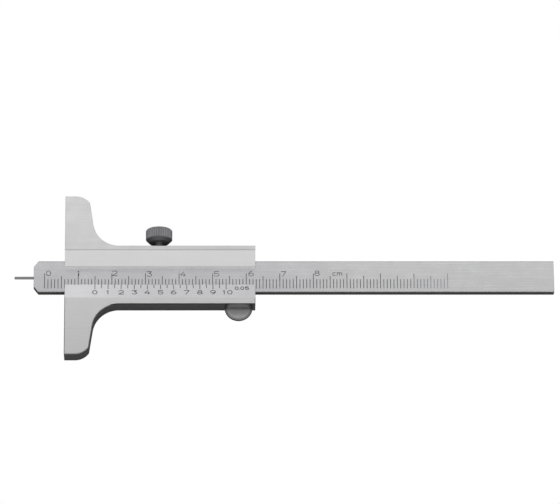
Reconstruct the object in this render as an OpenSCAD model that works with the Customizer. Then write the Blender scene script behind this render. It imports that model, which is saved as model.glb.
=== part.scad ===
// Vernier depth caliper, 80 mm range, 0.05 mm vernier, with a needle at the beam's nose.
// Millimetres. X runs along the beam and away from the work, Y across the bridge, Z out of the
// scale face. X = 0 is the bridge's measuring face. Y = 0 and Z = 0 are the beam's centre lines.

/* [Setting] */
// Depth that the scales show: the needle's tip is this far ahead of the measuring face
reading = 15; // [0:0.05:80]

/* [Beam] */
// Length of the beam without its needle
beam_l = 155; // [145:0.5:180]
// Width of the beam across its scale face
beam_w = 9.8; // [9:0.1:11]
// Thickness of the beam
beam_t = 2.5; // [2.2:0.1:3]
// Bevel along the beam's four long edges
beam_edge = 0.15; // [0.05:0.05:0.3]
// Length of the cut across each corner of the nose
nose_cut_l = 1.4; // [0.5:0.1:3]
// Width of the cut across each corner of the nose
nose_cut_w = 1.8; // [0.5:0.1:3]

/* [Main scale] */
// Length of the graduated part, in 1 mm steps
scale_l = 120; // [120:10:130]
// Distance from the nose to the zero line
zero_from_nose = 3.25; // [2:0.05:5]
// Distance from the beam's lower edge to the foot of the lines
scale_foot = 1.15; // [0.5:0.05:1.5]
// Length of the 1 mm lines
line_1 = 2.95; // [2:0.05:3.2]
// Length of the 5 mm lines
line_5 = 3.95; // [3:0.05:4.2]
// Length of the 10 mm lines
line_10 = 4.75; // [4:0.05:5.5]

/* [Engraving] */
// Width of every graduation line
line_w = 0.2; // [0.1:0.02:0.3]
// Depth of every graduation line
line_depth = 0.05; // [0.02:0.01:0.08]

/* [Needle] */
// Diameter of the needle
needle_d = 0.8; // [0.5:0.1:1.2]
// Length of the needle that stands out of the nose
needle_out = 5.75; // [4:0.05:8]
// Length of the needle that is held inside the beam
needle_in = 7; // [4:0.5:12]
// Chamfer round the needle's tip
needle_tip = 0.12; // [0.05:0.01:0.2]

/* [Slider] */
// Length of the slider from the measuring face to its rear end
slider_l = 56.7; // [56:0.1:70]
// Width of the slider behind the bridge
slider_w = 18.5; // [18:0.5:22]
// Thickness of the slider and the bridge
slider_t = 5.8; // [5.4:0.1:7]
// Distance from the centre line to the knife edge of the vernier
vernier_edge_y = 2.6; // [2:0.1:3]
// Distance from the centre line to the lower edge of the upper rail
rail_edge_y = 2.65; // [2:0.05:3.2]
// Distance from the centre line to the step on the upper rail
rail_step_y = 7.9; // [7:0.1:8.3]
// Height of that step
rail_step = 0.13; // [0.05:0.01:0.3]

/* [Bridge] */
// Length of the measuring face across the beam
bridge_w = 50; // [45:1:100]
// Depth of the arm at its tip, where its two outer lines would meet
arm_tip_l = 7; // [5:0.1:7.4]
// Taper of the arm's rear side, in degrees
arm_taper = 8.6; // [4:0.1:13]
// Length of the arm's straight end, from the measuring face to where its outer corner is rounded
arm_flat_l = 3.2; // [2.8:0.1:5]
// Radius of that rounding, which meets the arm's rear side at an angle
arm_corner_r = 5; // [4.5:0.5:9]
// Radius of the fillet between arm and body
arm_fillet_r = 7.8; // [3:0.1:9]

/* [Vernier] */
// Number of divisions
vernier_n = 20; // [10:10:20]
// Millimetres of the main scale that the vernier spans
vernier_span = 39; // [19:20:39]
// Thickness of the knife edge above the beam
vernier_lip = 0.13; // [0.08:0.01:0.2]
// Width of the bevel that carries the lines
vernier_bevel_w = 4.65; // [4.4:0.05:5]
// Length of the numbered lines, measured across the beam
vernier_line_long = 1.65; // [1.2:0.05:2]
// Length of the other lines, measured across the beam
vernier_line_short = 1.25; // [0.8:0.05:1.6]

/* [Thumb rest] */
// Radius of the half-round thumb rest
thumb_r = 4.2; // [3.5:0.1:5]
// Distance from its centre to the slider's rear end
thumb_from_rear = 5; // [4.2:0.1:8]
// How far it stands out of the slider's side
thumb_out = 3.4; // [2:0.1:3.5]
// Thickness of the thumb rest
thumb_t = 1.8; // [1.2:0.1:2.5]
// Chamfer round its upper edge
thumb_edge = 0.6; // [0.1:0.05:0.7]

/* [Gib] */
// Thickness of the gib strip between beam and slider
gib_t = 0.8; // [0.6:0.1:1]
// Height of the gib strip
gib_h = 2.2; // [1.8:0.1:2.4]
// Distance from each end of the slider to the gib's end
gib_inset = 1; // [0.5:0.5:3]
// Space between the gib and the channel's wall, which lets the screws press it in
gib_play = 0.12; // [0.05:0.01:0.2]
// Diameter of the gib screws
gib_screw_d = 2; // [1.6:0.1:2.5]
// Distance from the measuring face to the front gib screw
gib_screw_front = 19.5; // [18:0.5:22]
// Distance from the slider's rear end to the rear gib screw
gib_screw_rear = 7; // [4:0.5:12]
// How far the gib screws are sunk below the slider's edge
gib_screw_sunk = 0.3; // [0.1:0.1:1]
// Width of the screwdriver slot in a gib screw
gib_slot_w = 0.4; // [0.3:0.05:0.5]
// Depth of the screwdriver slot in a gib screw
gib_slot_d = 0.7; // [0.4:0.1:1]
// Depth of the dimple in the gib that takes the point of a screw
gib_dimple = 0.4; // [0.2:0.05:0.5]

/* [Lock screw] */
// Distance from the measuring face to the lock screw
lock_x = 28; // [25:0.1:32]
// Thread diameter of the lock screw
lock_thread_d = 3; // [2.5:0.5:3.5]
// Diameter of the knurled head
lock_head_d = 7.9; // [7:0.1:9]
// Length of the knurled head
lock_head_l = 4; // [2.5:0.1:5]
// Chamfer at the outer end of the head
lock_head_edge = 0.25; // [0.1:0.05:0.6]
// Chamfer at the end of the head that faces the slider
lock_head_bevel = 1; // [0.2:0.1:1.2]
// Gap between the head and the slider's edge
lock_head_gap = 1.85; // [0.5:0.05:4]
// Grooves of the straight knurl round the head
knurl_n = 40; // [24:4:48]
// Depth of the knurl's grooves
knurl_depth = 0.18; // [0.1:0.02:0.25]
// Free travel of the pad before it presses the gib on the beam
lock_slack = 0.15; // [0.1:0.01:0.3]
// Diameter of the brass pad
pad_d = 2.8; // [2.2:0.1:2.9]
// Thickness of the brass pad
pad_t = 1.4; // [1.1:0.1:1.8]
// Diameter of the screw's spigot that holds the pad
spigot_d = 1.4; // [1:0.1:1.6]
// Length of that spigot
spigot_l = 0.7; // [0.5:0.1:0.9]

/* [Clearances] */
// Running clearance between the beam and the slider, on each side
run_gap = 0.03; // [0.02:0.01:0.06]
// Radial clearance of the threads and of the pad on its spigot
thread_gap = 0.05; // [0.03:0.01:0.08]
// Gap between pieces that sit on each other without moving
seat_gap = 0.01; // [0:0.01:0.03]

/* [Hidden] */
$fn = 64;
cut = 1;

// Places along the beam, worked out from the reading
tip_x = -reading;
nose_x = tip_x + needle_out;
zero_x = nose_x + zero_from_nose;
// With the tip flush with the measuring face, both zero lines lie here
vernier_zero_x = needle_out + zero_from_nose;
vernier_pitch = vernier_span / vernier_n;

// Levels and walls of the slider's section
face_z = slider_t / 2;
channel_z = beam_t / 2 + run_gap;
channel_low_y = -(beam_w / 2 + run_gap);
gib_y = beam_w / 2 + run_gap;
gib_back_y = gib_y + gib_t;
channel_high_y = gib_back_y + gib_play;
edge_y = slider_w / 2;
rail_z = face_z - rail_step;
lip_z = channel_z + vernier_lip;
bevel_y = -(vernier_edge_y + vernier_bevel_w);
bevel_angle = atan((face_z - lip_z) / vernier_bevel_w);

// Screws in the slider's upper edge
gib_screw_xs = [gib_screw_front, slider_l - gib_screw_rear];
pad_y = gib_back_y + lock_slack;
screw_end_y = pad_y + pad_t + seat_gap;
head_y = edge_y + lock_head_gap;

function line_length(mm) =
    mm % 10 == 0 ? line_10 : mm % 5 == 0 ? line_5 : line_1;

// Extrudes a section drawn in Y and Z along X
module along_x(from, to) {
    translate([from, 0, 0]) rotate([90, 0, 90]) linear_extrude(to - from) children();
}

// Turns what is built up Z so that it points out of the slider's upper edge
module up_y(x, y) {
    translate([x, y, 0]) rotate([-90, 0, 0]) children();
}

// One graduation line of a given length, with its foot at the origin
module engraved_line(length) {
    translate([-line_w / 2, 0, -line_depth]) cube([line_w, length, line_depth + cut]);
}

// The kite between a corner and the centre of its fillet, less the fillet's disc.
// u and v are unit vectors along the two edges, away from the corner.
module corner_web(corner, u, v, r) {
    half = acos(u * v) / 2;
    reach = r / tan(half);
    middle = (u + v) / norm(u + v);
    centre = corner + middle * r / sin(half);
    difference() {
        polygon([corner, corner + u * reach, centre, corner + v * reach]);
        translate(centre) circle(r);
    }
}

// One arm of the bridge in plan, from the centre line to its tip
module arm_plan() {
    top_y = bridge_w / 2;
    lean = tan(arm_taper);
    outer = [arm_tip_l, top_y];
    inner = [arm_tip_l + lean * (top_y - edge_y), edge_y];
    side = (outer - inner) / norm(outer - inner);
    difference() {
        polygon([[0, 0], [0, top_y], outer, inner, [inner[0], 0]]);
        translate([arm_flat_l, top_y - arm_corner_r]) difference() {
            square(arm_corner_r + cut);
            circle(r = arm_corner_r);
        }
    }
    corner_web(inner, [1, 0], side, arm_fillet_r);
}

// The slider and its bridge in plan
module slider_plan() {
    translate([0, -edge_y]) square([slider_l, slider_w]);
    arm_plan();
    mirror([0, 1]) arm_plan();
}

// What is milled out along the whole slider: channel, window, vernier bevel and rail step
module slider_cuts() {
    along_x(-cut, slider_l + cut) {
        translate([channel_low_y, -channel_z])
            square([channel_high_y - channel_low_y, 2 * channel_z]);
        translate([-vernier_edge_y, 0])
            square([vernier_edge_y + rail_edge_y, face_z + cut]);
        polygon([
            [bevel_y, face_z], [-vernier_edge_y, lip_z],
            [-vernier_edge_y, face_z + cut], [bevel_y, face_z + cut]
        ]);
        translate([0, rail_z]) square([rail_step_y, face_z + cut - rail_z]);
    }
}

// The vernier's lines, cut into the bevel from its knife edge outwards
module vernier_lines() {
    for (i = [0:vernier_n])
        translate([vernier_zero_x + i * vernier_pitch, -vernier_edge_y, lip_z])
            rotate([-bevel_angle, 0, 0]) rotate([0, 0, 180])
                translate([0, -cut, 0]) engraved_line(
                    cut + (i % 2 == 0 ? vernier_line_long : vernier_line_short) / cos(bevel_angle)
                );
}

// Tapped holes in the upper edge, for the gib screws and the lock screw
module edge_holes() {
    depth = edge_y - channel_high_y + 2 * cut;
    for (x = gib_screw_xs)
        up_y(x, channel_high_y - cut) cylinder(r = gib_screw_d / 2 + thread_gap, h = depth);
    up_y(lock_x, channel_high_y - cut) cylinder(r = lock_thread_d / 2 + thread_gap, h = depth);
}

// Half-round rest for the thumb, at the back of the slider's lower side
module thumb_rest() {
    translate([slider_l - thumb_from_rear, thumb_r - thumb_out - edge_y, -face_z]) {
        cylinder(r = thumb_r, h = thumb_t - thumb_edge);
        translate([0, 0, thumb_t - thumb_edge])
            cylinder(r1 = thumb_r, r2 = thumb_r - thumb_edge, h = thumb_edge);
    }
}

// Slider and bridge, milled from one piece
module slider() {
    color("silver") difference() {
        union() {
            translate([0, 0, -face_z]) linear_extrude(slider_t) slider_plan();
            thumb_rest();
        }
        slider_cuts();
        vernier_lines();
        edge_holes();
    }
}

// Section of the beam, with its long edges bevelled
module beam_section() {
    y = beam_w / 2;
    z = beam_t / 2;
    polygon([
        [y - beam_edge, -z], [y, -z + beam_edge], [y, z - beam_edge], [y - beam_edge, z],
        [-y + beam_edge, z], [-y, z - beam_edge], [-y, -z + beam_edge], [-y + beam_edge, -z]
    ]);
}

// Flat beam with the main scale, and the hole in its nose for the needle
module beam() {
    color("lightgray") difference() {
        along_x(nose_x, nose_x + beam_l) beam_section();
        for (side = [-1, 1]) translate([nose_x, side * beam_w / 2, -beam_t])
            linear_extrude(2 * beam_t) polygon([
                [-cut, cut * side], [-cut, -nose_cut_w * side],
                [0, -nose_cut_w * side], [nose_cut_l, 0], [nose_cut_l, cut * side]
            ]);
        translate([nose_x - cut, 0, 0]) rotate([0, 90, 0])
            cylinder(r = needle_d / 2 + seat_gap, h = needle_in + seat_gap + cut);
        for (mm = [0:scale_l])
            translate([zero_x + mm, scale_foot - beam_w / 2, beam_t / 2])
                engraved_line(line_length(mm));
    }
}

// Hardened needle that reaches into narrow holes and grooves
module needle() {
    color("gray") translate([tip_x, 0, 0]) rotate([0, 90, 0]) {
        cylinder(r1 = needle_d / 2 - needle_tip, r2 = needle_d / 2, h = needle_tip);
        translate([0, 0, needle_tip])
            cylinder(r = needle_d / 2, h = needle_out + needle_in - needle_tip);
    }
}

// Strip that takes up the play between the beam's upper edge and the slider
module gib() {
    color("goldenrod") difference() {
        translate([gib_inset, gib_y, -gib_h / 2])
            cube([slider_l - 2 * gib_inset, gib_t, gib_h]);
        for (x = gib_screw_xs)
            up_y(x, gib_back_y - gib_dimple)
                cylinder(r1 = 0, r2 = gib_dimple + cut, h = gib_dimple + cut);
    }
}

// Slotted screw with a pointed end, which sets the gib and keeps it from sliding out
module gib_screw() {
    point = gib_dimple - seat_gap;
    length = edge_y - gib_screw_sunk - gib_back_y;
    difference() {
        union() {
            translate([0, 0, -point]) cylinder(r1 = 0, r2 = point, h = point);
            cylinder(r = gib_screw_d / 2, h = length);
        }
        translate([-gib_screw_d, -gib_slot_w / 2, length - gib_slot_d])
            cube([2 * gib_screw_d, gib_slot_w, gib_slot_d + cut]);
    }
}

// The two gib screws
module gib_screws() {
    color("dimgray") for (x = gib_screw_xs) up_y(x, gib_back_y + seat_gap) gib_screw();
}

// Brass pad on the end of the lock screw, which spares the gib from the turning screw
module clamp_pad() {
    color("gold") up_y(lock_x, pad_y) difference() {
        cylinder(r = pad_d / 2, h = pad_t);
        translate([0, 0, pad_t - spigot_l - thread_gap])
            cylinder(r = spigot_d / 2 + thread_gap, h = spigot_l + thread_gap + cut);
    }
}

// V-shaped groove along Z, whose point reaches knurl_depth towards the axis
module knurl_groove(length) {
    cylinder(r = knurl_depth, h = length, $fn = 4);
}

// Lock screw with its knurled head
module lock_screw() {
    r = lock_head_d / 2;
    length = head_y - screw_end_y;
    top = length + lock_head_l;
    color([0.2, 0.2, 0.2]) up_y(lock_x, screw_end_y) difference() {
        rotate_extrude() polygon([
            [0, -spigot_l], [spigot_d / 2, -spigot_l], [spigot_d / 2, 0],
            [lock_thread_d / 2, 0], [lock_thread_d / 2, length],
            [r - lock_head_bevel, length], [r, length + lock_head_bevel],
            [r, top - lock_head_edge], [r - lock_head_edge, top], [0, top]
        ]);
        for (i = [0:knurl_n - 1]) rotate([0, 0, i * 360 / knurl_n])
            translate([r, 0, length - cut]) knurl_groove(lock_head_l + 2 * cut);
    }
}

slider();
beam();
needle();
gib();
gib_screws();
clamp_pad();
lock_screw();
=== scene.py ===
"""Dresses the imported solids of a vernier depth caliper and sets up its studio.

Sizes are in millimetres unless a name says otherwise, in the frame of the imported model: X runs
along the beam and away from the work, Y across the bridge, Z out of the scale face.
"""

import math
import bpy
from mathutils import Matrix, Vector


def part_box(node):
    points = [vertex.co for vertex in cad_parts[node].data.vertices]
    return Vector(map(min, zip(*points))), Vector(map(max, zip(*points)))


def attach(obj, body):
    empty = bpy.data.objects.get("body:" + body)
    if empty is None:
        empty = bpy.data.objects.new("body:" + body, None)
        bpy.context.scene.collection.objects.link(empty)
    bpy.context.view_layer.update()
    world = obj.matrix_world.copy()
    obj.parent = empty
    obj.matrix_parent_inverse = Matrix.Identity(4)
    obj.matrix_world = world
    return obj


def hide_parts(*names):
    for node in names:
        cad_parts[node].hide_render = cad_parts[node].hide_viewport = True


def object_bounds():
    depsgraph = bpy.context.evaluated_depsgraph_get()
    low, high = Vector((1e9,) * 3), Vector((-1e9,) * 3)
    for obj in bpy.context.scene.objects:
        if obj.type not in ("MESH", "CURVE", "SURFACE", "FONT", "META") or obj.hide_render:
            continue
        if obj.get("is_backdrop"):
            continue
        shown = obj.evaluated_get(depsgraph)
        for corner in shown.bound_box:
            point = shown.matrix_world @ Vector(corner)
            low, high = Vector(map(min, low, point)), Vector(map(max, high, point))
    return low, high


bl_info = {
    "name": "Vernier depth caliper",
    "version": (1, 0, 0),
    "blender": (4, 5, 0),
    "location": "3D View > Sidebar > Caliper",
    "description": "Edge breaks, scales, figures, threads, finishes and studio of a depth caliper",
    "category": "Object",
}

import bmesh
import bpy
from bpy.props import FloatProperty, FloatVectorProperty, IntProperty, PointerProperty
from mathutils import Matrix, Vector

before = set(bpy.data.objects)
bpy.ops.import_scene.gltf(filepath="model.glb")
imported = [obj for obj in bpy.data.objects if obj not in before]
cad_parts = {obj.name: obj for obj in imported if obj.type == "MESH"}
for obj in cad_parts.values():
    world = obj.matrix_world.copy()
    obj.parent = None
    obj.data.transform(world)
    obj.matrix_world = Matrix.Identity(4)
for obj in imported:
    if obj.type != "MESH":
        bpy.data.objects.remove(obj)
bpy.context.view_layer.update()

MM = 0.001
IMAGE_WIDTH = 560


def node_box(node):
    """Lowest and highest corner of a CAD node, in millimetres."""
    low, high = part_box(node)
    return low / MM, high / MM


BEAM_LOW, BEAM_HIGH = node_box("beam")
_, SLIDER_HIGH = node_box("slider")
SCREW_LOW, SCREW_HIGH = node_box("lock_screw")

# The main scale: its zero line, the foot of its lines and how many there are
SCALE_ZERO_X = BEAM_LOW.x + 3.25
SCALE_FOOT_Y = BEAM_LOW.y + 1.15
SCALE_LINES = 121
# The vernier: its zero line, its lines, its knife edge and its bevel
VERNIER_ZERO_X = 9.0
VERNIER_PITCH = 1.95
VERNIER_LINES = 21
KNIFE_EDGE_Y = -2.6
KNIFE_EDGE_Z = 1.41
BEVEL_WIDTH = 4.65
BEVEL_FOOT_Y = KNIFE_EDGE_Y - BEVEL_WIDTH
BEVEL_ANGLE = math.atan((SLIDER_HIGH.z - KNIFE_EDGE_Z) / BEVEL_WIDTH)
# The upper rail of the window: its edge, the step above it and its height
RAIL_EDGE_Y = 2.65
RAIL_STEP_Y = 7.9
RAIL_Z = SLIDER_HIGH.z - 0.13
# The slider's long sides, and a line just outside the lower one
SLIDER_LOW_SIDE = -9.25
SLIDER_HIGH_SIDE = -SLIDER_LOW_SIDE
SLIDER_FOOT_Y = SLIDER_LOW_SIDE - 0.01
# The middle of the thumb rest, and half the length over which it joins the slider
THUMB_X = SLIDER_HIGH.x - 5
THUMB_HALF = 4.1
# The lock screw: its axis, head, spigot and thread
SCREW_X = (SCREW_LOW.x + SCREW_HIGH.x) / 2
SCREW_HEAD_R = (SCREW_HIGH.x - SCREW_LOW.x) / 2
SCREW_HEAD_L = 4.0
SCREW_HEAD_Y = SCREW_HIGH.y - SCREW_HEAD_L
SPIGOT_R = 0.7
SPIGOT_L = 0.7
SCREW_SHOULDER_Y = SCREW_LOW.y + SPIGOT_L
THREAD_R = 1.5
THREAD_CORE_R = THREAD_R - 0.26
# The axes of the gib's screws
GIB_SCREW_XS = (19.5, SLIDER_HIGH.x - 7)

# In degrees: edges are sharp from the first angle on, and shading is smooth below the second
SHARP_ANGLE = 40
CRISP_ANGLE = 12
# Width of the narrow breaks along edges
RIM_BREAK = 0.06
# Two places nearer than this are one, and a normal with a larger part along an axis is on it
SAME = 0.01
ALONG = 0.99

# Thickness of the figures' ink, half of it above the face and half of it in the steel
FIGURE_INK = 0.012
# How far the lines' ink reaches into the steel round its grooves, and how far it is sunk
INK_OVERLAP = 0.002
INK_SUNK = 0.006
# The ink of the last lines is worn: from where to where along X, and how many times lighter
WORN_INK = (98, 116)
WORN_TONE = 6.0

# Painted light and shade: tints that stand in for how the light falls and fade out along an axis.
# For each: the axis, where the fading starts and ends, and the tint
PAINTED_LIGHT_FADES = {
    # Painted light: the slider lighter at the bridge's end, fading out along X
    "satin": ("X", 12, 45, (1.05, 1.05, 1.05)),
    # Painted shadow: the thumb rest darker next to the slider's wall, fading out away from it
    "thumb": ("Y", SLIDER_FOOT_Y, -10.2, (0.4, 0.4, 0.4)),
    # Painted light: the vernier's bevel lighter at its start, fading out along X
    "bevel": ("X", 4, 25, (1.17, 1.17, 1.17)),
    # Painted shade: the beam darker and a little bluer up to the slider's end, lighter beyond it
    "beam": ("X", 57, 88, (0.93, 0.925, 0.945)),
    # Painted shade: blackened steel at half tone on the head's inner bevel and all nearer the
    # slider
    "black": ("Y", SCREW_HEAD_Y + 0.8, SCREW_HEAD_Y + 1.2, (0.5, 0.5, 0.5)),
}
# Painted shade on the wall above the thumb rest: its tone as a share of the slider's
PAINTED_WALL_SHADE = 0.38
# Strength of the grinding lines' relief, and its depth in metres
RELIEF = {"Strength": 0.02, "Distance": 0.00002}


# Strokes of the engraved figures, in a box 1 wide and 1 high, from x = -0.5 and y = 0.
# An arc is its centre, its two radii and the angles where it starts and ends.
GLYPHS = {
    "0": [("arc", 0, 0.5, 0.39, 0.5, 0, 360)],
    "1": [("line", 0, 0, 0, 1), ("line", 0, 1, -0.2, 0.78)],
    "2": [
        ("arc", 0, 0.7, 0.42, 0.3, 170, -32),
        ("line", 0.356, 0.541, -0.44, 0),
        ("line", -0.44, 0, 0.46, 0),
    ],
    "3": [
        ("line", -0.4, 1, 0.4, 1),
        ("line", 0.4, 1, 0.02, 0.6),
        ("arc", 0.02, 0.3, 0.42, 0.3, 90, -150),
    ],
    "4": [
        ("line", 0.12, 1, -0.47, 0.3),
        ("line", -0.47, 0.3, 0.47, 0.3),
        ("line", 0.2, 0.58, 0.2, 0),
    ],
    "5": [
        ("line", -0.34, 1, 0.4, 1),
        ("line", -0.34, 1, -0.38, 0.53),
        ("arc", 0, 0.31, 0.44, 0.31, 137, -150),
    ],
    "6": [
        ("arc", 0, 0.3, 0.43, 0.3, 0, 360),
        ("arc", 0.3, 0.3, 0.73, 0.72, 180, 100),
    ],
    "7": [("line", -0.42, 1, 0.42, 1), ("line", 0.42, 1, -0.14, 0)],
    "8": [("arc", 0, 0.77, 0.33, 0.23, 0, 360), ("arc", 0, 0.27, 0.43, 0.27, 0, 360)],
    "9": [
        ("arc", 0, 0.7, 0.43, 0.3, 0, 360),
        ("arc", -0.3, 0.7, 0.73, 0.72, 0, -80),
    ],
    ".": [("line", 0, 0.02, 0, 0.04)],
    "c": [("arc", 0, 0.32, 0.42, 0.32, 50, 310)],
    "m": [
        ("line", -0.46, 0, -0.46, 0.64),
        ("arc", -0.23, 0.42, 0.23, 0.22, 180, 0),
        ("line", 0, 0.42, 0, 0),
        ("arc", 0.23, 0.42, 0.23, 0.22, 180, 0),
        ("line", 0.46, 0.42, 0.46, 0),
    ],
}


def measure(name, description, default, low, high):
    """A setting for a length in millimetres."""
    return FloatProperty(name=name, description=description, default=default, min=low, max=high)


def shade(name, description, default):
    """A setting for a colour."""
    return FloatVectorProperty(
        name=name, description=description, subtype="COLOR", default=default, min=0, max=1
    )


class CaliperSizes(bpy.types.PropertyGroup):
    """Sizes of what the finishing adds to the solids, in millimetres."""

    edge_break: measure("Edge break", "Breaks along the slider's lower edges", 0.2, 0.02, 0.2)
    line_width: measure("Line width", "Width of the grooves that hold the ink", 0.2, 0.05, 0.3)
    line_depth: measure("Line depth", "Depth of the grooves that hold the ink", 0.05, 0.02, 0.08)
    stroke_width: measure("Stroke width", "Width of the figures' strokes", 0.175, 0.05, 0.3)
    figure_height: measure("Main figures", "Height of the main scale's figures", 1.5, 0.5, 2.5)
    vernier_figure_height: measure(
        "Vernier figures", "Height of the vernier's figures", 1.35, 0.5, 2.5
    )
    knurl_ridges: IntProperty(
        name="Knurl ridges", description="Ridges round the head of the lock screw",
        default=40, min=12, max=80,
    )
    knurl_depth: measure("Knurl depth", "Depth of the knurl's grooves", 0.17, 0.05, 0.3)
    thread_pitch: measure("Thread pitch", "Lock screw's advance in one turn", 0.5, 0.25, 1)


class CaliperFinish(bpy.types.PropertyGroup):
    """Colours of the finishes."""

    slider_colour: shade("Slider", "Satin chrome of the slider and the bridge", (0.625,) * 3)
    rail_colour: shade("Rail", "Finely ground rail beside the window", (0.72,) * 3)
    bevel_colour: shade("Bevel", "Ground bevel that carries the vernier", (0.675, 0.67, 0.69))
    beam_colour: shade("Beam", "Matt ground steel of the beam", (0.6, 0.6, 0.605))
    ink_colour: shade("Ink", "Dark enamel in the lines and the figures", (0.05, 0.05, 0.055))
    # The dark tone of the broad breaks is painted shade
    edge_colour: shade("Broken edges", "Painted shade on the broad breaks", (0.06, 0.06, 0.062))
    black_colour: shade("Black steel", "Blackened steel of the screws", (0.26, 0.26, 0.27))
    thumb_colour: shade("Thumb rest", "Matt milled steel of the thumb rest", (0.45, 0.45, 0.455))
    needle_colour: shade("Needle", "Hardened steel of the needle", (0.27,) * 3)
    bronze_colour: shade("Bronze", "Rolled bronze of the gib", (0.7, 0.52, 0.28))
    brass_colour: shade("Brass", "Turned brass of the pad", (0.78, 0.6, 0.3))


class CaliperStudio(bpy.types.PropertyGroup):
    """Camera and light."""

    camera_distance: FloatProperty(
        name="Camera distance", description="From the camera to the plane that it looks at",
        subtype="DISTANCE", unit="LENGTH", default=1.3, min=0.3, max=5,
    )
    camera_lean: FloatProperty(
        name="Camera lean", description="Angle between the view and the scale face's normal",
        subtype="ANGLE", unit="ROTATION", default=math.radians(20.82),
    )
    camera_turn: FloatProperty(
        name="Camera turn", description="Turn of the view about its upright axis",
        subtype="ANGLE", unit="ROTATION", default=math.radians(0.965),
    )
    camera_aim: FloatVectorProperty(
        name="Camera aim", description="What the camera looks at, right and up in its own plane",
        subtype="TRANSLATION", unit="LENGTH", size=2, default=(0.064074, 0.007773),
    )
    pixels_per_mm: FloatProperty(
        name="Pixels a millimetre", description="Scale of the picture at the camera's aim",
        default=3.3565, min=0.5, max=20,
    )
    key: FloatProperty(
        name="Key", description="Radiance of the softbox over the side of the lock screw",
        default=0.72, min=0, max=20,
    )
    fill: FloatProperty(
        name="Fill", description="Radiance of the softbox over the side of the camera",
        default=1.0, min=0, max=20,
    )


def settings(kind):
    """One of the caliper's groups of settings: sizes, finish or studio."""
    return getattr(bpy.context.scene, "caliper_" + kind)


# Meshes

def new_object(name, data):
    """A mesh, a light or a camera as an object in the scene."""
    obj = bpy.data.objects.new(name, data)
    bpy.context.scene.collection.objects.link(obj)
    return obj


def evaluated_mesh(obj):
    """The mesh that an object's modifiers give."""
    bpy.context.view_layer.update()
    return bpy.data.meshes.new_from_object(
        obj.evaluated_get(bpy.context.evaluated_depsgraph_get())
    )


def applied(obj, place=Matrix.Identity(4)):
    """Turns an object's modifiers into plain mesh, sets it in place and scales it to metres."""
    mesh = evaluated_mesh(obj)
    obj.modifiers.clear()
    mesh.transform(Matrix.Scale(MM, 4) @ place)
    old, obj.data = obj.data, mesh
    bpy.data.meshes.remove(old)
    mesh.name = obj.name
    return obj


def crisp_normals(obj):
    """Smooth shading for round faces that leaves flat ones flat and sharper edges crisp."""
    mesh = obj.data
    around = [[] for _ in mesh.vertices]
    for face in mesh.polygons:
        for vertex in face.vertices:
            around[vertex].append(face)
    limit = math.cos(math.radians(CRISP_ANGLE))
    normals = []
    for face in mesh.polygons:
        for vertex in face.vertices:
            total = Vector()
            for other in around[vertex]:
                if other.normal.dot(face.normal) > limit:
                    total += other.normal * (other.area / MM ** 2)
            normals.append(total.normalized())
    mesh.shade_smooth()
    mesh.normals_split_custom_set(normals)


def merged_copy(node):
    """A CAD node in millimetres, with its triangles joined and its flat faces whole."""
    shape = bmesh.new()
    shape.from_mesh(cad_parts[node].data)
    bmesh.ops.scale(shape, vec=(1 / MM,) * 3, verts=shape.verts)
    bmesh.ops.remove_doubles(shape, verts=shape.verts, dist=0.0005)
    bmesh.ops.dissolve_limit(
        shape, angle_limit=math.radians(0.5), verts=shape.verts, edges=shape.edges
    )
    return shape


def near(value, places, within=SAME):
    """Whether a value is within a distance of one of some places."""
    return min(abs(value - place) for place in places) < within


def break_edges(shape, width, wanted):
    """Bevels the sharp edges that are wanted, given an edge's middle."""
    chosen = []
    for edge in shape.edges:
        if len(edge.link_faces) != 2 or edge.calc_face_angle() < math.radians(SHARP_ANGLE):
            continue
        middle = (edge.verts[0].co + edge.verts[1].co) / 2
        if edge.is_convex and wanted(middle):
            chosen.append(edge)
    bmesh.ops.bevel(
        shape, geom=chosen, offset=width, offset_type="OFFSET", segments=1, profile=0.5,
        affect="EDGES", clamp_overlap=True, material=-1,
    )


def lathe(profile, steps):
    """A closed solid turned about Y, from pairs of radius and Y that start and end on the axis."""
    shape = bmesh.new()
    rings = []
    for radius, y in profile:
        if radius == 0:
            rings.append([shape.verts.new((0, y, 0))])
            continue
        turns = [2 * math.pi * i / steps for i in range(steps)]
        rings.append([
            shape.verts.new((radius * math.cos(t), y, radius * math.sin(t))) for t in turns
        ])
    for one, two in zip(rings, rings[1:]):
        for i in range(steps):
            j = (i + 1) % steps
            corners = [one[i % len(one)], one[j % len(one)], two[j % len(two)], two[i % len(two)]]
            shape.faces.new(list(dict.fromkeys(corners)))
    bmesh.ops.recalc_face_normals(shape, faces=shape.faces)
    return shape


def to_object(shape, name, materials=()):
    """A bmesh as an object with its materials."""
    mesh = bpy.data.meshes.new(name)
    shape.to_mesh(mesh)
    shape.free()
    for material in materials:
        mesh.materials.append(material)
    return new_object(name, mesh)


# Node trees

def add_node(tree, kind, values=None, **fields):
    """A node with its fields and the values of its sockets set."""
    node = tree.nodes.new(kind)
    for field, value in fields.items():
        setattr(node, field, value)
    for socket, value in (values or {}).items():
        if isinstance(value, bpy.types.NodeSocket):
            tree.links.new(value, node.inputs[socket])
        else:
            node.inputs[socket].default_value = value
    return node


def math_node(tree, operation, one, two=0.0, three=0.0):
    """The result of one step of arithmetic on numbers or sockets."""
    return add_node(
        tree, "ShaderNodeMath", {0: one, 1: two, 2: three}, operation=operation
    ).outputs[0]


def vector_node(tree, operation, values):
    """The result of one step of arithmetic on vectors or their sockets."""
    return add_node(tree, "ShaderNodeVectorMath", values, operation=operation).outputs[0]


def ramp(tree, value, start, end, low=0.0, high=1.0, kind="LINEAR"):
    """A number that goes from low to high while the value goes from start to end."""
    return add_node(tree, "ShaderNodeMapRange", {
        "Value": value, "From Min": start, "From Max": end, "To Min": low, "To Max": high,
    }, interpolation_type=kind).outputs[0]


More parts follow.
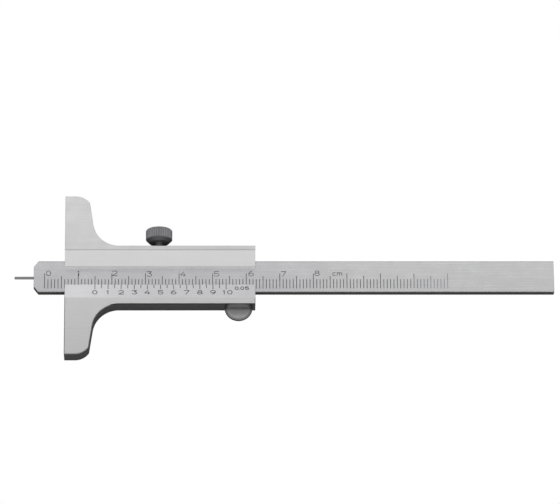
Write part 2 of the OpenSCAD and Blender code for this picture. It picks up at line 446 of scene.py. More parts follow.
def new_tree(name, inputs):
    """An empty geometry node tree with its inputs, and the node that gives them."""
    tree = bpy.data.node_groups.new(name, "GeometryNodeTree")
    tree.interface.new_socket("Geometry", in_out="OUTPUT", socket_type="NodeSocketGeometry")
    for label, kind in inputs.items():
        tree.interface.new_socket(label, in_out="INPUT", socket_type="NodeSocket" + kind)
    return tree, tree.nodes.new("NodeGroupInput").outputs


def end_tree(tree, geometry, material):
    """Makes instances real, gives the material and ends the tree."""
    real = add_node(tree, "GeometryNodeRealizeInstances", {0: geometry})
    painted = add_node(
        tree, "GeometryNodeSetMaterial", {"Geometry": real.outputs[0], "Material": material}
    )
    end = tree.nodes.new("NodeGroupOutput")
    tree.links.new(painted.outputs[0], end.inputs[0])


def run_tree(obj, tree, values, place):
    """Runs a geometry node tree on an object and keeps the result, set in place, as its mesh."""
    modifier = obj.modifiers.new(tree.name, "NODES")
    modifier.node_group = tree
    for item in tree.interface.items_tree:
        if item.in_out == "INPUT" and item.name in values:
            modifier[item.identifier] = values[item.name]
    return applied(obj, place)


def line_tree():
    """Bars of ink in a row: short ones, longer ones at every so many and the longest at others."""
    if "Scale lines" in bpy.data.node_groups:
        return bpy.data.node_groups["Scale lines"]
    tree, given = new_tree("Scale lines", {
        "Count": "Int", "Pitch": "Float", "Width": "Float", "Depth": "Float",
        "Short": "Float", "Middle": "Float", "Long": "Float",
        "Middle every": "Int", "Long every": "Int", "Material": "Material",
    })
    step = add_node(tree, "ShaderNodeCombineXYZ", {0: given["Pitch"]})
    line = add_node(
        tree, "GeometryNodeMeshLine", {"Count": given["Count"], "Offset": step.outputs[0]},
        mode="OFFSET",
    )
    index = tree.nodes.new("GeometryNodeInputIndex").outputs[0]

    def picked(every, yes, no):
        rest = math_node(tree, "MODULO", math_node(tree, "ADD", index, 0.25), every)
        hit = math_node(tree, "LESS_THAN", rest, 0.5)
        more = math_node(tree, "SUBTRACT", yes, no)
        return math_node(tree, "MULTIPLY_ADD", hit, more, no)

    length = picked(given["Middle every"], given["Middle"], given["Short"])
    length = picked(given["Long every"], given["Long"], length)
    size = add_node(tree, "ShaderNodeCombineXYZ", {
        0: given["Width"], 1: length, 2: given["Depth"],
    })
    middle = add_node(tree, "ShaderNodeCombineXYZ", {
        1: math_node(tree, "MULTIPLY", length, 0.5),
        2: math_node(tree, "MULTIPLY", given["Depth"], 0.5),
    })
    placed = add_node(tree, "GeometryNodeSetPosition", {
        "Geometry": line.outputs[0], "Offset": middle.outputs[0],
    })
    bar = add_node(tree, "GeometryNodeMeshCube")
    bars = add_node(tree, "GeometryNodeInstanceOnPoints", {
        "Points": placed.outputs[0], "Instance": bar.outputs[0], "Scale": size.outputs[0],
    })
    end_tree(tree, bars.outputs[0], given["Material"])
    return tree


def level_curve(tree, curve):
    """A curve whose normals look up Z, so that a section swept along it stays level."""
    return add_node(tree, "GeometryNodeSetCurveNormal", {"Curve": curve}, mode="Z_UP")


def stroke_tree():
    """Flat strokes with round ends along the edges of a mesh."""
    if "Engraved strokes" in bpy.data.node_groups:
        return bpy.data.node_groups["Engraved strokes"]
    tree, given = new_tree("Engraved strokes", {
        "Geometry": "Geometry", "Width": "Float", "Depth": "Float", "Material": "Material",
    })
    path = add_node(tree, "GeometryNodeMeshToCurve", {"Mesh": given["Geometry"]})
    upright = level_curve(tree, path.outputs[0])
    section = add_node(tree, "GeometryNodeCurvePrimitiveQuadrilateral", {
        "Width": given["Width"], "Height": given["Depth"],
    })
    strokes = add_node(tree, "GeometryNodeCurveToMesh", {
        "Curve": upright.outputs[0], "Profile Curve": section.outputs[0], "Fill Caps": True,
    })
    ends = add_node(tree, "GeometryNodeCurveEndpointSelection")
    disc = add_node(tree, "GeometryNodeMeshCylinder", {
        "Vertices": 16, "Radius": math_node(tree, "MULTIPLY", given["Width"], 0.5),
        "Depth": given["Depth"],
    })
    discs = add_node(tree, "GeometryNodeInstanceOnPoints", {
        "Points": upright.outputs[0], "Selection": ends.outputs[0],
        "Instance": disc.outputs[0],
    })
    both = tree.nodes.new("GeometryNodeJoinGeometry")
    tree.links.new(strokes.outputs[0], both.inputs[0])
    tree.links.new(discs.outputs[0], both.inputs[0])
    end_tree(tree, both.outputs[0], given["Material"])
    return tree


def ring_tree():
    """Copies of a sector in a ring about Y, joined where they meet."""
    tree, given = new_tree("Knurled ring", {
        "Geometry": "Geometry", "Count": "Int", "Material": "Material",
    })
    points = add_node(tree, "GeometryNodeMeshLine", {
        "Count": given["Count"], "Offset": (0, 0, 0),
    }, mode="OFFSET")
    index = tree.nodes.new("GeometryNodeInputIndex").outputs[0]
    angle = math_node(tree, "MULTIPLY", index, 2 * math.pi)
    turn = math_node(tree, "DIVIDE", angle, given["Count"])
    angles = add_node(tree, "ShaderNodeCombineXYZ", {1: turn})
    copies = add_node(tree, "GeometryNodeInstanceOnPoints", {
        "Points": points.outputs[0], "Instance": given["Geometry"],
        "Rotation": angles.outputs[0],
    })
    real = add_node(tree, "GeometryNodeRealizeInstances", {0: copies.outputs[0]})
    joined = add_node(tree, "GeometryNodeMergeByDistance", {
        "Geometry": real.outputs[0], "Distance": 0.0005,
    })
    end_tree(tree, joined.outputs[0], given["Material"])
    return tree


def thread_tree():
    """A triangular thread that winds up Z."""
    tree, given = new_tree("Screw thread", {
        "Radius": "Float", "Pitch": "Float", "Length": "Float", "Depth": "Float",
        "Material": "Material",
    })
    turns = math_node(tree, "DIVIDE", given["Length"], given["Pitch"])
    helix = add_node(tree, "GeometryNodeCurveSpiral", {
        "Resolution": 32, "Rotations": turns, "Start Radius": given["Radius"],
        "End Radius": given["Radius"], "Height": given["Length"],
    })
    upright = level_curve(tree, helix.outputs[0])
    section = add_node(tree, "GeometryNodeCurvePrimitiveCircle", {
        "Resolution": 4, "Radius": given["Depth"],
    }, mode="RADIUS")
    ridge = add_node(tree, "GeometryNodeCurveToMesh", {
        "Curve": upright.outputs[0], "Profile Curve": section.outputs[0], "Fill Caps": True,
    })
    end_tree(tree, ridge.outputs[0], given["Material"])
    return tree


# Materials

def streak_group():
    """Fine lines along X from grinding, with a softer mottle over them."""
    name = "Ground lines"
    if name in bpy.data.node_groups:
        return bpy.data.node_groups[name]
    tree = bpy.data.node_groups.new(name, "ShaderNodeTree")
    for label, kind in (
        ("Colour", "Color"), ("Roughness", "Float"), ("Line contrast", "Float"),
        ("Mottle", "Float"), ("Lines a millimetre", "Float"),
    ):
        tree.interface.new_socket(label, in_out="INPUT", socket_type="NodeSocket" + kind)
    for label, kind in (("Colour", "Color"), ("Roughness", "Float"), ("Height", "Float")):
        tree.interface.new_socket(label, in_out="OUTPUT", socket_type="NodeSocket" + kind)
    given = tree.nodes.new("NodeGroupInput").outputs
    place = tree.nodes.new("ShaderNodeTexCoord").outputs["Object"]
    # Along X the noise is stretched a hundred times
    across = math_node(tree, "MULTIPLY", given["Lines a millimetre"], 1 / MM)
    along = math_node(tree, "MULTIPLY", across, 0.01)
    scale = add_node(tree, "ShaderNodeCombineXYZ", {0: along, 1: across, 2: across}).outputs[0]
    stretched = vector_node(tree, "MULTIPLY", {0: place, 1: scale})
    lines = add_node(tree, "ShaderNodeTexNoise", {
        "Vector": stretched, "Scale": 1.0, "Detail": 3.0, "Roughness": 0.6,
    }).outputs[0]
    cloud = add_node(tree, "ShaderNodeTexNoise", {
        "Vector": place, "Scale": 260.0, "Detail": 4.0, "Roughness": 0.55,
    }).outputs[0]
    line_part = math_node(tree, "MULTIPLY", math_node(tree, "SUBTRACT", lines, 0.5),
                          given["Line contrast"])
    cloud_part = math_node(tree, "MULTIPLY", math_node(tree, "SUBTRACT", cloud, 0.5),
                           given["Mottle"])
    both = math_node(tree, "ADD", line_part, cloud_part)
    tone = math_node(tree, "ADD", both, 1.0)
    colour = vector_node(tree, "SCALE", {0: given["Colour"], "Scale": tone})
    # Lighter lines are smoother
    rough = math_node(tree, "MULTIPLY_ADD", both, -1.5, given["Roughness"])
    end = tree.nodes.new("NodeGroupOutput")
    tree.links.new(colour, end.inputs["Colour"])
    tree.links.new(rough, end.inputs["Roughness"])
    tree.links.new(lines, end.inputs["Height"])
    return tree


def new_material(name, colour, roughness):
    """A material with the viewport's colour and roughness, its node tree and its shader."""
    material = bpy.data.materials.new(name)
    material.use_nodes = True
    material.diffuse_color = (*colour, 1)
    material.roughness = roughness
    return material, material.node_tree, material.node_tree.nodes["Principled BSDF"]


def ground_metal(name, colour, roughness, contrast, mottle, density, metallic=1.0, fade=None):
    """A metal with the lines of its grinding in colour, roughness and relief.

    contrast and mottle are the strengths of lines and clouds, density is lines a millimetre, and
    fade is one entry of the table of painted light and shade along an axis.
    """
    material, tree, shader = new_material(name, colour, roughness)
    lines = add_node(tree, "ShaderNodeGroup", node_tree=streak_group())
    for socket, value in (
        ("Colour", (*colour, 1)), ("Roughness", roughness), ("Line contrast", contrast),
        ("Mottle", mottle), ("Lines a millimetre", density),
    ):
        lines.inputs[socket].default_value = value
    # Painted light and shade: a tint along an axis that fades out, standing in for how the light
    # falls
    if fade:
        axis, start, end, tint = fade
        place = tree.nodes.new("ShaderNodeTexCoord").outputs["Object"]
        along = add_node(tree, "ShaderNodeSeparateXYZ", {0: place}).outputs[axis]
        share = ramp(tree, along, start * MM, end * MM)
        rest = [1 - part for part in tint]
        tone = vector_node(tree, "MULTIPLY_ADD", {0: share, 1: rest, 2: tint})
        painted_light_colour = vector_node(tree, "MULTIPLY", {0: tone, 1: colour})
        tree.links.new(painted_light_colour, lines.inputs["Colour"])
    tree.links.new(lines.outputs["Colour"], shader.inputs["Base Color"])
    tree.links.new(lines.outputs["Roughness"], shader.inputs["Roughness"])
    relief = add_node(tree, "ShaderNodeBump", {"Height": lines.outputs["Height"], **RELIEF})
    tree.links.new(relief.outputs[0], shader.inputs["Normal"])
    shader.inputs["Metallic"].default_value = metallic
    return material


def enamel(name, colour):
    """Dark enamel wiped into the engraving, a little uneven and worn at the scale's end."""
    roughness = 0.6
    material, tree, shader = new_material(name, colour, roughness)
    place = tree.nodes.new("ShaderNodeTexCoord").outputs["Object"]
    grain = add_node(tree, "ShaderNodeTexNoise", {
        "Vector": place, "Scale": 9000.0, "Detail": 2.0, "Roughness": 0.6,
    }).outputs[0]
    tone = ramp(tree, grain, 0.3, 0.7, 0.8, 1.25)
    along = add_node(tree, "ShaderNodeSeparateXYZ", {0: place}).outputs["X"]
    worn = ramp(tree, along, WORN_INK[0] * MM, WORN_INK[1] * MM, 1.0, WORN_TONE)
    strength = math_node(tree, "MULTIPLY", tone, worn)
    paint = vector_node(tree, "SCALE", {0: colour, "Scale": strength})
    tree.links.new(paint, shader.inputs["Base Color"])
    shader.inputs["Roughness"].default_value = roughness
    shader.inputs["Specular IOR Level"].default_value = 0.3
    return material


# The ground finishes: the material's name, the setting that holds its colour, its roughness, the
# strength of its lines and clouds, its lines a millimetre and, where it isn't 1, how metallic it is
GROUND = {
    "satin": ("satin_chrome", "slider", 0.34, 0.14, 0.1, 4),
    "thumb": ("matt_thumb_rest", "thumb", 0.5, 0.1, 0.1, 8),
    "rail": ("ground_rail", "rail", 0.34, 0.06, 0.03, 4),
    "bevel": ("ground_bevel", "bevel", 0.4, 0.1, 0.05, 4),
    # Painted shade: the dark tone of the broad breaks and the rail's step
    "edge": ("broken_edge", "edge", 0.4, 0.15, 0.1, 3),
    # Painted shade: the wall above the thumb rest, darker than the slider
    "wall": ("wall_above_thumb_rest", "slider", 0.34, 0.14, 0.1, 4),
    "beam": ("matt_scale_steel", "beam", 0.3, 0.17, 0.1, 4),
    "needle": ("needle_steel", "needle", 0.3, 0.06, 0.02, 20),
    "black": ("blackened_steel", "black", 0.45, 0.15, 0.25, 4, 0.5),
    "bronze": ("gib_bronze", "bronze", 0.35, 0.06, 0.03, 8),
    "brass": ("pad_brass", "brass", 0.3, 0.05, 0.02, 8),
}


def make_materials():
    """Every finish of the caliper, by name."""
    finish = settings("finish")
    made = {}
    for key, (name, setting, *numbers) in GROUND.items():
        colour = getattr(finish, setting + "_colour")
        # Painted shade: the wall above the thumb rest takes a share of the slider's colour
        if key == "wall":
            colour = [PAINTED_WALL_SHADE * part for part in colour]
        made[key] = ground_metal(name, colour, *numbers, fade=PAINTED_LIGHT_FADES.get(key))
    made["ink"] = enamel("line_enamel", finish.ink_colour)
    return made


MATERIALS = {}


# Figures

# Degrees of an arc between two of its points
ARC_STEP = 15


def stroke_points(stroke):
    """The points of a stroke, and whether it closes on itself."""
    if stroke[0] == "line":
        return [stroke[1:3], stroke[3:5]], False
    _, x, y, across, up, start, end = stroke
    steps = max(4, round(abs(end - start) / ARC_STEP))
    closed = abs(end - start) == 360
    turns = [math.radians(start + (end - start) * i / steps) for i in range(steps + 1 - closed)]
    return [(x + across * math.cos(t), y + up * math.sin(t)) for t in turns], closed


def figure_paths(name, figures):
    """The centre lines of figures as edges, from each one's sign, place, width and height."""
    verts, edges = [], []
    for sign, x, y, width, height in figures:
        for stroke in GLYPHS[sign]:
            points, closed = stroke_points(stroke)
            first = len(verts)
            verts += [(x + width * px, y + height * py, 0) for px, py in points]
            edges += [(first + i, first + i + 1) for i in range(len(points) - 1)]
            if closed:
                edges.append((len(verts) - 1, first))
    mesh = bpy.data.meshes.new(name)
    mesh.from_pydata(verts, edges, [])
    return new_object(name, mesh)


def engrave_figures(name, figures, place, bolder=1):
    """Figures as thin strokes of ink, set in place on their face."""
    sizes = settings("sizes")
    return run_tree(figure_paths(name, figures), stroke_tree(), {
        "Width": bolder * sizes.stroke_width, "Depth": FIGURE_INK, "Material": MATERIALS["ink"],
    }, place)


def ink_lines(name, place, rows):
    """The ink in a row of graduation lines, from the inputs of the line tree that set them out."""
    sizes = settings("sizes")
    bottom = -sizes.line_depth - INK_OVERLAP
    return run_tree(new_object(name, bpy.data.meshes.new(name)), line_tree(), {
        "Width": sizes.line_width + 2 * INK_OVERLAP, "Depth": -INK_SUNK - bottom,
        "Material": MATERIALS["ink"], **rows,
    }, place @ Matrix.Translation((0, 0, bottom)))


class CALIPER_OT_slider(bpy.types.Operator):
    """Slider and bridge with broken edges, bright rail, vernier's bevel and thumb rest"""

    bl_idname = "caliper.slider"
    bl_label = "Slider and bridge"

    # edge and wall carry painted shade; the others are the steel's finishes
    FINISHES = ("satin", "rail", "bevel", "thumb", "edge", "wall")
    # Width of the break between the rail and the window
    RAIL_BREAK = 0.04
    # Just outside the channel for beam and gib: half its height and its upper side
    CHANNEL_HALF = 1.3
    CHANNEL_HIGH_Y = 6
    # Just outside the holes in the slider's upper side
    HOLE_R = 1.6

    def finish_of(self, face, bevel_up):
        """Which of the slider's finishes a face has, as its place in the list of finishes."""
        middle, normal = face.calc_center_median(), face.normal
        finish = "satin"
        if middle.y < SLIDER_FOOT_Y and middle.x > SLIDER_HIGH.x / 2:
            finish = "thumb"
        elif normal.dot(bevel_up) > 0.999 and middle.y < KNIFE_EDGE_Y:
            finish = "bevel"
        # The rail's top is its finer, lighter grind; on the rail's edge break and its wall over the
        # window that lighter finish is also a painted highlight and a painted reflection of the
        # beam
        elif near(middle.y, [RAIL_EDGE_Y], 0.2) or (near(middle.z, [RAIL_Z]) and normal.z > ALONG):
            finish = "rail"
        # Painted shade on the wall above the thumb rest
        elif near(middle.y, [SLIDER_LOW_SIDE], 2 * SAME) and near(middle.x, [THUMB_X], 1):
            finish = "wall"
        # Painted shade: the dark finish on the sloped breaks along the lower side and at the rail's
        # step
        elif near(middle.y, (SLIDER_LOW_SIDE, RAIL_STEP_Y), 0.3) and (
            0.3 < normal.z < 0.95 and normal.y < -0.3
        ):
            finish = "edge"
        return self.FINISHES.index(finish)

    def is_lower(self, middle):
        """Whether an edge is an upper one below the vernier, where the breaks are broad."""
        return middle.z > 0 and middle.y < BEVEL_FOOT_Y - 0.1

    def is_outline(self, middle):
        """Whether an edge is none of the vernier's, the rail's, the channel's or the lower ones."""
        knife = near(middle.y, [KNIFE_EDGE_Y], 2 * SAME) and middle.z < KNIFE_EDGE_Z + SAME
        lines = BEVEL_FOOT_Y < middle.y < KNIFE_EDGE_Y + SAME and (
            0.5 < middle.x < SLIDER_HIGH.x - 0.5 and middle.z > 1.2
        )
        inside = abs(middle.z) < self.CHANNEL_HALF and (
            BEAM_LOW.y - 0.1 < middle.y < self.CHANNEL_HIGH_Y
        )
        on_rail = near(middle.y, (RAIL_EDGE_Y, RAIL_STEP_Y))
        # Nor one of the screws' holes
        hole = near(middle.x, (SCREW_X, *GIB_SCREW_XS), self.HOLE_R) and (
            abs(middle.z) < self.HOLE_R and RAIL_EDGE_Y < middle.y < SLIDER_HIGH_SIDE + 0.05
        )
        return not (knife or lines or inside or on_rail or hole or self.is_lower(middle))

    def is_step(self, middle):
        """Whether an edge is the upper one of the rail's step."""
        return near(middle.y, [RAIL_STEP_Y]) and middle.z > RAIL_Z + SAME

    def is_rail(self, middle):
        """Whether an edge is the one between the rail and the window."""
        return near(middle.y, [RAIL_EDGE_Y]) and middle.z > RAIL_Z - SAME

    def cut_wall(self, shape):
        """Cuts the lower side at the ends of the thumb rest, which makes a face of its wall."""
        # The wall's own face is the one that takes the painted shade
        foot = [
            face for face in shape.faces if face.normal.y < -ALONG
            and near(face.calc_center_median().y, [SLIDER_LOW_SIDE], 2 * SAME)
        ]
        for x in (THUMB_X - THUMB_HALF, THUMB_X + THUMB_HALF):
            parts = foot + [e for f in foot for e in f.edges] + [v for f in foot for v in f.verts]
            cut = bmesh.ops.bisect_plane(
                shape, geom=list(dict.fromkeys(parts)), plane_co=(x, 0, 0), plane_no=(1, 0, 0),
            )["geom"]
            foot = [part for part in cut if isinstance(part, bmesh.types.BMFace)]

    def execute(self, context):
        shape = merged_copy("slider")
        # A narrow place narrows every break of its call, so each kind of edge has its own
        break_edges(shape, settings("sizes").edge_break, self.is_lower)
        break_edges(shape, RIM_BREAK, self.is_outline)
        break_edges(shape, RIM_BREAK, self.is_step)
        break_edges(shape, self.RAIL_BREAK, self.is_rail)
        self.cut_wall(shape)
        bevel_up = Vector((0, math.sin(BEVEL_ANGLE), math.cos(BEVEL_ANGLE)))
        for face in shape.faces:
            face.material_index = self.finish_of(face, bevel_up)
        obj = to_object(
            shape, "slider_and_bridge", [MATERIALS[finish] for finish in self.FINISHES]
        )
        applied(obj)
        crisp_normals(obj)
        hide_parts("slider")
        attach(obj, "slider")
        return {"FINISHED"}


class CALIPER_OT_beam(bpy.types.Operator):
    """Beam with broken edges and the finish of ground scale steel"""

    bl_idname = "caliper.beam"
    bl_label = "Beam"

    # Edges this near to the beam's ends are broken, except round the needle's hole
    END_LENGTH = 1.6
    HOLE_R = 0.6

    def is_end(self, middle):
        """Whether an edge is one of the outer edges at the beam's ends."""
        hole = math.hypot(middle.y, middle.z) < self.HOLE_R
        return near(middle.x, (BEAM_LOW.x, BEAM_HIGH.x), self.END_LENGTH) and not hole

    def execute(self, context):
        shape = merged_copy("beam")
        break_edges(shape, RIM_BREAK, self.is_end)
        obj = to_object(shape, "beam_bar", [MATERIALS["beam"]])
        applied(obj)
        crisp_normals(obj)
        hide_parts("beam")
        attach(obj, "beam")
        return {"FINISHED"}


class CALIPER_OT_main_scale(bpy.types.Operator):
    """Ink in the 1 mm lines of the beam, with the figures of the centimetres"""

    bl_idname = "caliper.main_scale"
    bl_label = "Main scale"

    # How far right of its line and how far down each figure stands
    FIGURE_SHIFTS = (
        (1.16, 0), (0.17, 0), (0.85, 0), (1.1, 0.25), (1.2, 0.28), (1.15, 0.2), (1.46, 0.1),
        (1.1, 0.22), (1.1, 0),
    )
    FIGURE_FOOT_Y = 0.32
    FIGURE_WIDTH = 1.65
    # The unit's signs: how far right of the zero line each stands, and its width
    UNIT_SIGNS = (("c", 86.25, 1.1), ("m", 87.8, 1.5))
    LINES = {
        "Count": SCALE_LINES, "Pitch": 1.0, "Short": 2.95, "Middle": 3.95, "Long": 4.75,
        "Middle every": 5, "Long every": 10,
    }

    def execute(self, context):
        lines = ink_lines(
            "main_scale_ink", Matrix.Translation((SCALE_ZERO_X, SCALE_FOOT_Y, BEAM_HIGH.z)),
            self.LINES,
        )
        height = settings("sizes").figure_height
        figures = [
            (str(i), SCALE_ZERO_X + 10 * i + right, self.FIGURE_FOOT_Y - down, self.FIGURE_WIDTH,
             height) for i, (right, down) in enumerate(self.FIGURE_SHIFTS)
        ]
        figures += [
            (sign, SCALE_ZERO_X + right, self.FIGURE_FOOT_Y, width, height)
            for sign, right, width in self.UNIT_SIGNS
        ]
        signs = engrave_figures(
            "main_scale_figures", figures, Matrix.Translation((0, 0, BEAM_HIGH.z))
        )
        for obj in (lines, signs):
            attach(obj, "beam")
        return {"FINISHED"}


class CALIPER_OT_vernier(bpy.types.Operator):
    """Ink in the lines of the vernier, with its figures and its value"""

    bl_idname = "caliper.vernier"
    bl_label = "Vernier"

    # Distances from the knife edge, down the bevel
    FIGURE_MIDDLE = 2.9
    VALUE_MIDDLE = 1.36
    FIGURE_WIDTH = 1.68
    # How many times as broad as on the main scale the strokes are
    BOLDER = 1.3
    # How far right of the last line the two signs of the last figure stand
    LAST_SIGNS = (("1", -0.55), ("0", 1.1))
    # The vernier's value: its signs with their places along X, their width and height
    VALUE_SIGNS = (("0", 51.15), (".", 51.9), ("0", 52.8), ("5", 54.2))
    VALUE_WIDTH = 1.15
    VALUE_HEIGHT = 1.02
    # Lengths of the lines, seen from above
    SHORT_LINE = 1.25
    LONG_LINE = 1.65

    def execute(self, context):
        bevel = (
            Matrix.Translation((0, KNIFE_EDGE_Y, KNIFE_EDGE_Z))
            @ Matrix.Rotation(-BEVEL_ANGLE, 4, "X")
        )
        slope = math.cos(BEVEL_ANGLE)
        lines = ink_lines(
            "vernier_ink",
            bevel @ Matrix.Translation((VERNIER_ZERO_X, 0, 0)) @ Matrix.Scale(-1, 4, (0, 1, 0)),
            {"Count": VERNIER_LINES, "Pitch": VERNIER_PITCH, "Short": self.SHORT_LINE / slope,
             "Middle": self.LONG_LINE / slope, "Long": self.LONG_LINE / slope,
             "Middle every": 2, "Long every": 2},
        )
        lines.data.flip_normals()
        height = settings("sizes").vernier_figure_height
        foot = -self.FIGURE_MIDDLE - height / 2
        last_x = VERNIER_ZERO_X + (VERNIER_LINES - 1) * VERNIER_PITCH
        signs = [(str(i), VERNIER_ZERO_X + 2 * i * VERNIER_PITCH) for i in range(10)]
        signs += [(sign, last_x + right) for sign, right in self.LAST_SIGNS]
        figures = [(sign, x, foot, self.FIGURE_WIDTH, height) for sign, x in signs]
        value_foot = -self.VALUE_MIDDLE - self.VALUE_HEIGHT / 2
        figures += [
            (sign, x, value_foot, self.VALUE_WIDTH, self.VALUE_HEIGHT)
            for sign, x in self.VALUE_SIGNS
        ]
        signs = engrave_figures("vernier_figures", figures, bevel, self.BOLDER)
        for obj in (lines, signs):
            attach(obj, "slider")
        return {"FINISHED"}


class CALIPER_OT_needle(bpy.types.Operator):
    """Smooth round needle with its chamfered tip"""

    bl_idname = "caliper.needle"
    bl_label = "Needle"

    TIP_BREAK = 0.12
    SIDES = 48

    def execute(self, context):
        low, high = node_box("needle")
        radius = (high.y - low.y) / 2
        shape = lathe([
            (0, low.x), (radius - self.TIP_BREAK, low.x), (radius, low.x + self.TIP_BREAK),
            (radius, high.x), (0, high.x),
        ], self.SIDES)
        obj = to_object(shape, "needle_pin", [MATERIALS["needle"]])
        applied(obj, Matrix.Rotation(-math.pi / 2, 4, "Z"))
        crisp_normals(obj)
        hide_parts("needle")
        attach(obj, "beam")
        return {"FINISHED"}


class CALIPER_OT_lock_screw(bpy.types.Operator):
    """Lock screw with its knurled head, its thread and the spigot of its pad"""

    bl_idname = "caliper.lock_screw"
    bl_label = "Lock screw"

    INNER_BEVEL = 1.0
    OUTER_BEVEL = 0.25
    # The section of a ridge: turns as shares of half a ridge, and heights as shares of its depth
    RIDGE = ((-1, 0), (-0.62, 0.45), (-0.2, 1), (0.2, 1), (0.62, 0.45), (1, 0))
    SIDES = 64
    # How far the shank reaches into the head
    OVERLAP = 0.2

    def sector(self, ridges, depth):
        """One ridge of the head, from the axis outwards."""
        length, radius = SCREW_HEAD_L, SCREW_HEAD_R
        rings = [
            (radius - self.INNER_BEVEL, 0, 0), (radius - depth, self.INNER_BEVEL - depth, 0),
            (radius, self.INNER_BEVEL, depth), (radius, length - self.OUTER_BEVEL, depth),
            (radius - depth, length - self.OUTER_BEVEL + depth, 0),
            (radius - self.OUTER_BEVEL, length, 0),
        ]
        half = math.pi / ridges
        shape = bmesh.new()
        rows = []
        for ring_radius, y, cut in rings:
            row = []
            for share, height in self.RIDGE:
                r, turn = ring_radius - cut * (1 - height), share * half
                row.append(shape.verts.new((r * math.sin(turn), y, r * math.cos(turn))))
            rows.append(row)
        sides = range(len(self.RIDGE) - 1)
        for one, two in zip(rows, rows[1:]):
            for i in sides:
                shape.faces.new((one[i], one[i + 1], two[i + 1], two[i]))
        for row, y, turned in ((rows[0], 0, 1), (rows[-1], length, -1)):
            middle = shape.verts.new((0, y, 0))
            for i in sides:
                shape.faces.new((middle, row[i + 1], row[i])[::turned])
        return shape

    def execute(self, context):
        sizes = settings("sizes")
        black = MATERIALS["black"]
        head = to_object(self.sector(sizes.knurl_ridges, sizes.knurl_depth), "locking_screw_head")
        run_tree(head, ring_tree(), {"Count": sizes.knurl_ridges, "Material": black},
                 Matrix.Translation((SCREW_X, SCREW_HEAD_Y, 0)))
        core = THREAD_CORE_R
        length = SCREW_HEAD_Y - SCREW_SHOULDER_Y
        # Spigot, shank and, a little thinner, the neck that ends in the head
        shank = to_object(lathe([
            (0, -SPIGOT_L), (SPIGOT_R - 0.08, -SPIGOT_L), (SPIGOT_R, 0.08 - SPIGOT_L),
            (SPIGOT_R, 0), (core - 0.05, 0), (core, 0.12), (core, length - 0.6),
            (core - 0.02, length - 0.5), (core - 0.02, length + self.OVERLAP),
            (0, length + self.OVERLAP),
        ], self.SIDES), "locking_screw_shank", [black])
        applied(shank, Matrix.Translation((SCREW_X, SCREW_SHOULDER_Y, 0)))
        crisp_normals(shank)
        thread = new_object("locking_screw_thread", bpy.data.meshes.new("locking_screw_thread"))
        run_tree(thread, thread_tree(), {
            "Radius": core, "Pitch": sizes.thread_pitch, "Length": length - 1.2,
            "Depth": THREAD_R - core - 0.01, "Material": black,
        }, Matrix.Translation((SCREW_X, SCREW_SHOULDER_Y + 0.3, 0))
           @ Matrix.Rotation(-math.pi / 2, 4, "X"))
        for obj in (head, shank, thread):
            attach(obj, "lock_screw")
        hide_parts("lock_screw")
        return {"FINISHED"}


class CALIPER_OT_inner_parts(bpy.types.Operator):
    """Finishes of the gib, its screws and the pad"""

    bl_idname = "caliper.inner_parts"
    bl_label = "Gib, gib screws and pad"

    def execute(self, context):
        for node, finish in (("gib", "bronze"), ("gib_screws", "black"), ("clamp_pad", "brass")):
            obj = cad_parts[node]
            if not obj.material_slots:
                obj.data.materials.append(None)
            for slot in obj.material_slots:
                slot.material = MATERIALS[finish]
        return {"FINISHED"}


def white_to_camera(tree, kind, other):
    """White light to the camera, and another shader to all else."""
    white = add_node(tree, kind, {"Color": (1, 1, 1, 1), "Strength": 1.0}).outputs[0]
    seen = tree.nodes.new("ShaderNodeLightPath").outputs["Is Camera Ray"]
    return add_node(tree, "ShaderNodeMixShader", {0: seen, 1: other, 2: white}).outputs[0]


def stage_material():
    """White to the camera and dark to the object, as on a cut-out picture."""
    material, tree, shader = new_material("studio_floor", (1, 1, 1), 0.8)
    dark = 0.075
    shader.inputs["Base Color"].default_value = (dark, dark, dark, 1)
    shader.inputs["Roughness"].default_value = 0.9
    mixed = white_to_camera(tree, "ShaderNodeEmission", shader.outputs[0])
    tree.links.new(mixed, tree.nodes["Material Output"].inputs["Surface"])
    return material


def studio_world():
    """White to the camera. To the object, a dim room, lighter above and behind the camera."""
    world = bpy.data.worlds.new("Studio")
    world.use_nodes = True
    tree = world.node_tree
    tree.nodes.clear()
    way = tree.nodes.new("ShaderNodeTexCoord").outputs["Generated"]
    parts = add_node(tree, "ShaderNodeSeparateXYZ", {0: way}).outputs
    room = ramp(tree, parts[2], 0.0, 0.5, 0.1, 0.28, "SMOOTHSTEP")
    front = ramp(tree, parts[1], -0.9, -0.45, 0.1, 0.0, "SMOOTHSTEP")
    # Nothing comes from below the floor
    above = math_node(tree, "GREATER_THAN", parts[2], -0.02)
    glow = math_node(tree, "MULTIPLY", math_node(tree, "MAXIMUM", room, front), above)
    studio = add_node(tree, "ShaderNodeBackground", {"Color": (1, 1, 1, 1), "Strength": glow})
    mixed = white_to_camera(tree, "ShaderNodeBackground", studio.outputs[0])
    end = add_node(tree, "ShaderNodeOutputWorld")
    tree.links.new(mixed, end.inputs["Surface"])
    return world


def softbox(name, low, high, height, radiance):
    """A level softbox between two corners, in metres, which only the object sees."""
    light = bpy.data.lights.new(name, "AREA")
    light.shape = "RECTANGLE"
    light.size, light.size_y = high[0] - low[0], high[1] - low[1]
    light.energy = 4 * light.size * light.size_y * radiance
    box = new_object(name, light)
    box.visible_camera = False
    box.location = ((low[0] + high[0]) / 2, (low[1] + high[1]) / 2, height)


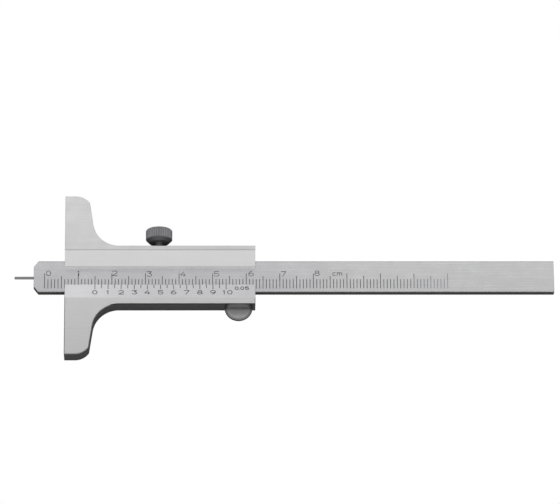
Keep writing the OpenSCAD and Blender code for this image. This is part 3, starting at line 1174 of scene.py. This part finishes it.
class CALIPER_OT_stage(bpy.types.Operator):
    """Pale floor, soft light and the camera at the view of the photograph"""

    bl_idname = "caliper.stage"
    bl_label = "Stage"

    SENSOR = 36.0
    # The floor: half its side, and how far below the caliper it lies, in metres
    FLOOR_HALF = 0.6
    FLOOR_GAP = 0.00002

    def place_camera(self):
        studio = settings("studio")
        lean, turn = studio.camera_lean, studio.camera_turn
        side = Vector((1, 0, 0))
        up = Vector((0, math.cos(lean), math.sin(lean)))
        out = Vector((0, -math.sin(lean), math.cos(lean)))
        right = math.cos(turn) * side + math.sin(turn) * out
        back = -math.sin(turn) * side + math.cos(turn) * out
        data = bpy.data.cameras.new("Camera")
        data.sensor_width = self.SENSOR
        picture_w = IMAGE_WIDTH / studio.pixels_per_mm * MM
        data.lens = self.SENSOR * studio.camera_distance / picture_w
        data.clip_start, data.clip_end = 0.01, 20
        camera = new_object("Camera", data)
        aim = studio.camera_aim[0] * right + studio.camera_aim[1] * up
        turned = Matrix((right, up, back)).transposed().to_4x4()
        camera.matrix_world = Matrix.Translation(aim + studio.camera_distance * back) @ turned
        bpy.context.scene.camera = camera

    def execute(self, context):
        scene = bpy.context.scene
        scene.view_settings.view_transform = "Standard"
        scene.world = studio_world()
        low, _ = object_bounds()
        half, z = self.FLOOR_HALF, low[2] - self.FLOOR_GAP
        mesh = bpy.data.meshes.new("floor")
        mesh.from_pydata(
            [(-half, -half, z), (half, -half, z), (half, half, z), (-half, half, z)], [],
            [(0, 1, 2, 3)],
        )
        mesh.materials.append(stage_material())
        floor = new_object("floor", mesh)
        floor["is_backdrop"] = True
        studio = settings("studio")
        softbox("Key", low=(-0.6, 0.135), high=(0.7, 0.72), height=0.42, radiance=studio.key)
        softbox("Fill", low=(-0.6, -0.6), high=(0.7, -0.05), height=0.45, radiance=studio.fill)
        self.place_camera()
        return {"FINISHED"}


class CALIPER_PT_panel(bpy.types.Panel):
    """The caliper's pieces, in the order in which they are made"""

    bl_label = "Depth caliper"
    bl_idname = "CALIPER_PT_panel"
    bl_space_type = "VIEW_3D"
    bl_region_type = "UI"
    bl_category = "Caliper"

    def draw(self, context):
        for operator in PIECES:
            self.layout.operator(operator.bl_idname)


PIECES = (
    CALIPER_OT_slider, CALIPER_OT_beam, CALIPER_OT_main_scale, CALIPER_OT_vernier,
    CALIPER_OT_needle, CALIPER_OT_lock_screw, CALIPER_OT_inner_parts, CALIPER_OT_stage,
)
GROUPS = {"sizes": CaliperSizes, "finish": CaliperFinish, "studio": CaliperStudio}


def register():
    """Makes the settings, the operators and the panel known."""
    for cls in (*GROUPS.values(), *PIECES, CALIPER_PT_panel):
        bpy.utils.register_class(cls)
    for name, group in GROUPS.items():
        setattr(bpy.types.Scene, "caliper_" + name, PointerProperty(type=group))


def unregister():
    """Takes everything that register made away again."""
    for name in GROUPS:
        delattr(bpy.types.Scene, "caliper_" + name)
    for cls in (CALIPER_PT_panel, *reversed(PIECES), *reversed(list(GROUPS.values()))):
        bpy.utils.unregister_class(cls)


def main():
    """Makes the whole caliper and its stage."""
    register()
    MATERIALS.update(make_materials())
    for operator in PIECES:
        area, name = operator.bl_idname.split(".")
        getattr(getattr(bpy.ops, area), name)()


if __name__ == "__main__":
    main()
